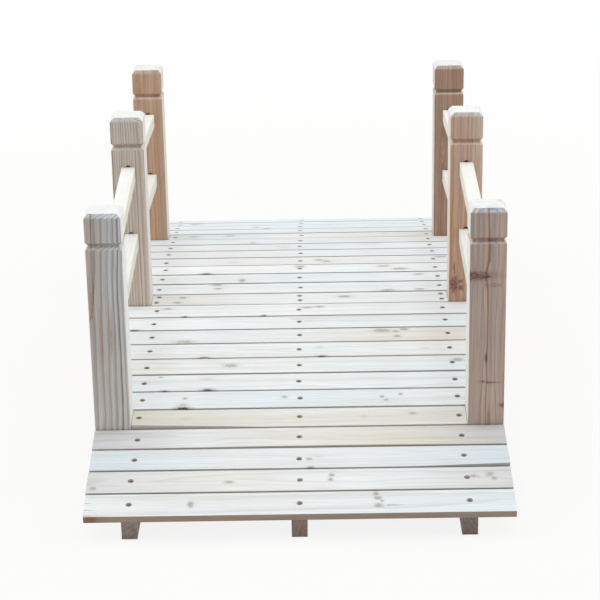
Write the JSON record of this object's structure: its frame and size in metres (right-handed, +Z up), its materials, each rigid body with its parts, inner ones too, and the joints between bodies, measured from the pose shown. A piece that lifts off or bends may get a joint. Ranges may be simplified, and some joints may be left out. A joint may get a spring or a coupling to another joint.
{
  "type": "arched garden footbridge",
  "caption": "Low arched wooden garden footbridge with a slatted deck on curved stringers, square posts with grooved heads, and upper and lower side rails.",
  "frame": {"origin": "on the ground under the middle of the bridge", "axes": "+X across the walkway to the right, +Y along it to the back, +Z up"},
  "size_m": [0.68, 1.4834, 0.4916],
  "materials": {
    "slat": "planed fir, bleached pale, with small knots",
    "post": "planed fir, strong upright grain",
    "rail": "planed fir, pale cream",
    "stringer": "sawn fir, with open end grain",
    "screw": "zinc plated, dulled"
  },
  "bodies": {
    "root": {"back_left_post": "post", "back_right_post": "post", "centre_back_stringer": "stringer", "centre_front_stringer": "stringer", "centre_splice": "stringer", "front_left_post": "post", "front_right_post": "post", "left_back_lower_rail": "rail", "left_back_stringer": "stringer", "left_back_upper_rail": "rail", "left_front_lower_rail": "rail", "left_front_stringer": "stringer", "left_front_upper_rail": "rail", "left_splice": "stringer", "middle_left_post": "post", "middle_right_post": "post", "right_back_lower_rail": "rail", "right_back_stringer": "stringer", "right_back_upper_rail": "rail", "right_front_lower_rail": "rail", "right_front_stringer": "stringer", "right_front_upper_rail": "rail", "right_splice": "stringer", "slat_01": "slat", "slat_02": "slat", "slat_03": "slat", "slat_04": "slat", "slat_05": "slat", "slat_06": "slat", "slat_07": "slat", "slat_08": "slat", "slat_09": "slat", "slat_10": "slat", "slat_11": "slat", "slat_12": "slat", "slat_13": "slat", "slat_14": "slat", "slat_15": "slat", "slat_16": "slat", "slat_17": "slat", "slat_18": "slat", "slat_19": "slat", "slat_20": "slat", "slat_21": "slat", "slat_22": "slat", "slat_23": "slat", "slat_24": "slat", "slat_25": "slat"}
  },
  "joints": []
}
